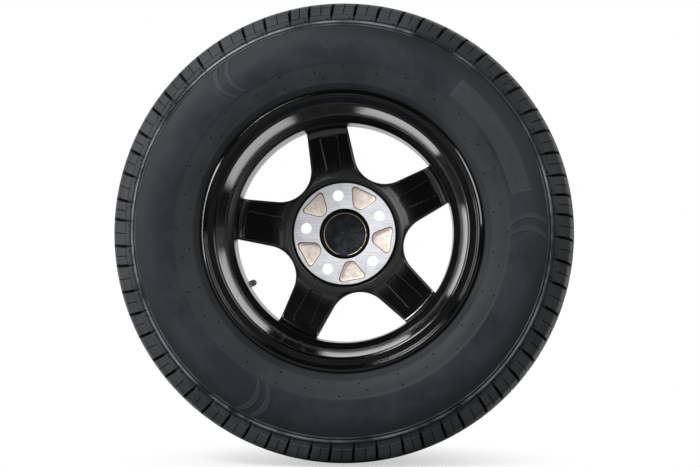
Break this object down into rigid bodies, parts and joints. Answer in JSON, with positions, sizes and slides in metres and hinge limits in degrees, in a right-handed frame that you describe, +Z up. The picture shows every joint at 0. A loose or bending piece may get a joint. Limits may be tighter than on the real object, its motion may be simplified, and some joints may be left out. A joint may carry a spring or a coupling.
{
  "type": "wheel and tyre assembly",
  "caption": "Black cast alloy wheel with broad spokes and a commercial radial tyre, with a rubber valve and centre cap; it bolts to a hub flange on its inboard face.",
  "frame": {"origin": "wheel centre, on the axle's axis at the rim's mid plane", "axes": "+Y along the axle towards the street side, -Y towards the vehicle, +Z up"},
  "size_m": [0.6479, 0.1882, 0.6478],
  "materials": {
    "tyre_rubber": "matt black rubber",
    "wheel_black": "gloss black paint on cast alloy, hub face machined bare",
    "cap_plastic": "black moulded plastic",
    "spring_bronze": "bronze-coloured spring wire",
    "valve_rubber": "black rubber",
    "valve_brass": "turned brass",
    "seal_rubber": "soft rubber",
    "spring_steel": "bright spring wire",
    "dust_cap_plastic": "dark grey moulded plastic"
  },
  "bodies": {
    "wheel_and_tyre": {"tyre": "tyre_rubber", "wheel": "wheel_black", "centre_cap": "cap_plastic", "cap_spring_ring": "spring_bronze", "valve_body": "valve_rubber", "valve_stem": "valve_brass", "core_housing": "valve_brass", "core_gasket": "seal_rubber", "core_spring": "spring_steel"},
    "dust_cap_lift": {"cap_seal": "seal_rubber"},
    "dust_cap": {"valve_cap": "dust_cap_plastic"},
    "core_plunger": {"core_pin": "valve_brass", "core_seal": "seal_rubber"}
  },
  "joints": [
    {"name": "dust_cap_travel", "type": "slide", "parent": "wheel_and_tyre", "child": "dust_cap_lift", "axis": [0.3819, 0.9026, 0.1988], "range_m": [0, 0.00476]},
    {"name": "dust_cap_turn", "type": "hinge", "parent": "dust_cap_lift", "child": "dust_cap", "pos_m": [-0.14559, 0.03951, -0.07579], "axis": [0.3819, 0.9026, 0.1988], "range_deg": [0, 2165]},
    {"name": "core_pin_press", "type": "slide", "parent": "wheel_and_tyre", "child": "core_plunger", "axis": [-0.3819, -0.9026, -0.1988], "range_m": [0, 0.001], "stiffness_N_per_m": 800, "deforming": ["core_spring"]}
  ],
  "couplings": [
    {"joint": "dust_cap_turn", "follows": "dust_cap_travel", "rad_per_m": 7915.8}
  ]
}
